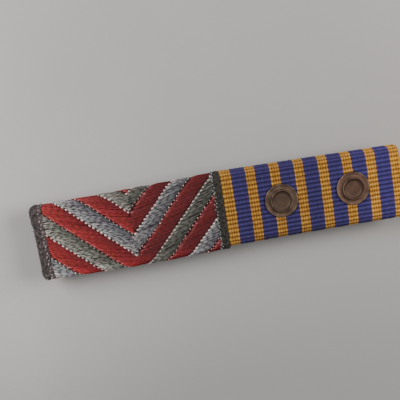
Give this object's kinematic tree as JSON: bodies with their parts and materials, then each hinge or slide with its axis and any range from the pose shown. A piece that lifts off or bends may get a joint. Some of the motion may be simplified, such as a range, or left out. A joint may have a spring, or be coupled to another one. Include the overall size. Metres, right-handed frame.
{
  "type": "ribbon bar",
  "caption": "Wearable ribbon bar: a chevron ribbon and a striped ribbon wrapped round a metal strip, with round bronze studs and a brooch pin on the back.",
  "frame": {"origin": "bottom centre of the whole bar as it lies on its back, under the middle of its length and height, on the surface that its fittings rest on", "axes": "+X runs along the bar from the chevron ribbon to the striped ribbon, +Y is up the face as it is worn, +Z points out of the face"},
  "size_m": [0.0656, 0.0144, 0.007],
  "materials": {
    "chevron_cloth": "woven silk chevrons in red, silver and grey with black selvages",
    "striped_cloth": "ribbed weave with gold and blue stripes",
    "strip_brass": "dull, lightly tarnished",
    "pin_steel": "drawn wire",
    "stud_bronze": "darkened bronze, worn bright along its edges"
  },
  "bodies": {
    "root": {"chevron_ribbon": "chevron_cloth", "striped_ribbon": "striped_cloth", "carrier_bar": "strip_brass", "brooch_pin": "pin_steel", "left_stud": "stud_bronze", "right_stud": "stud_bronze"}
  },
  "joints": []
}
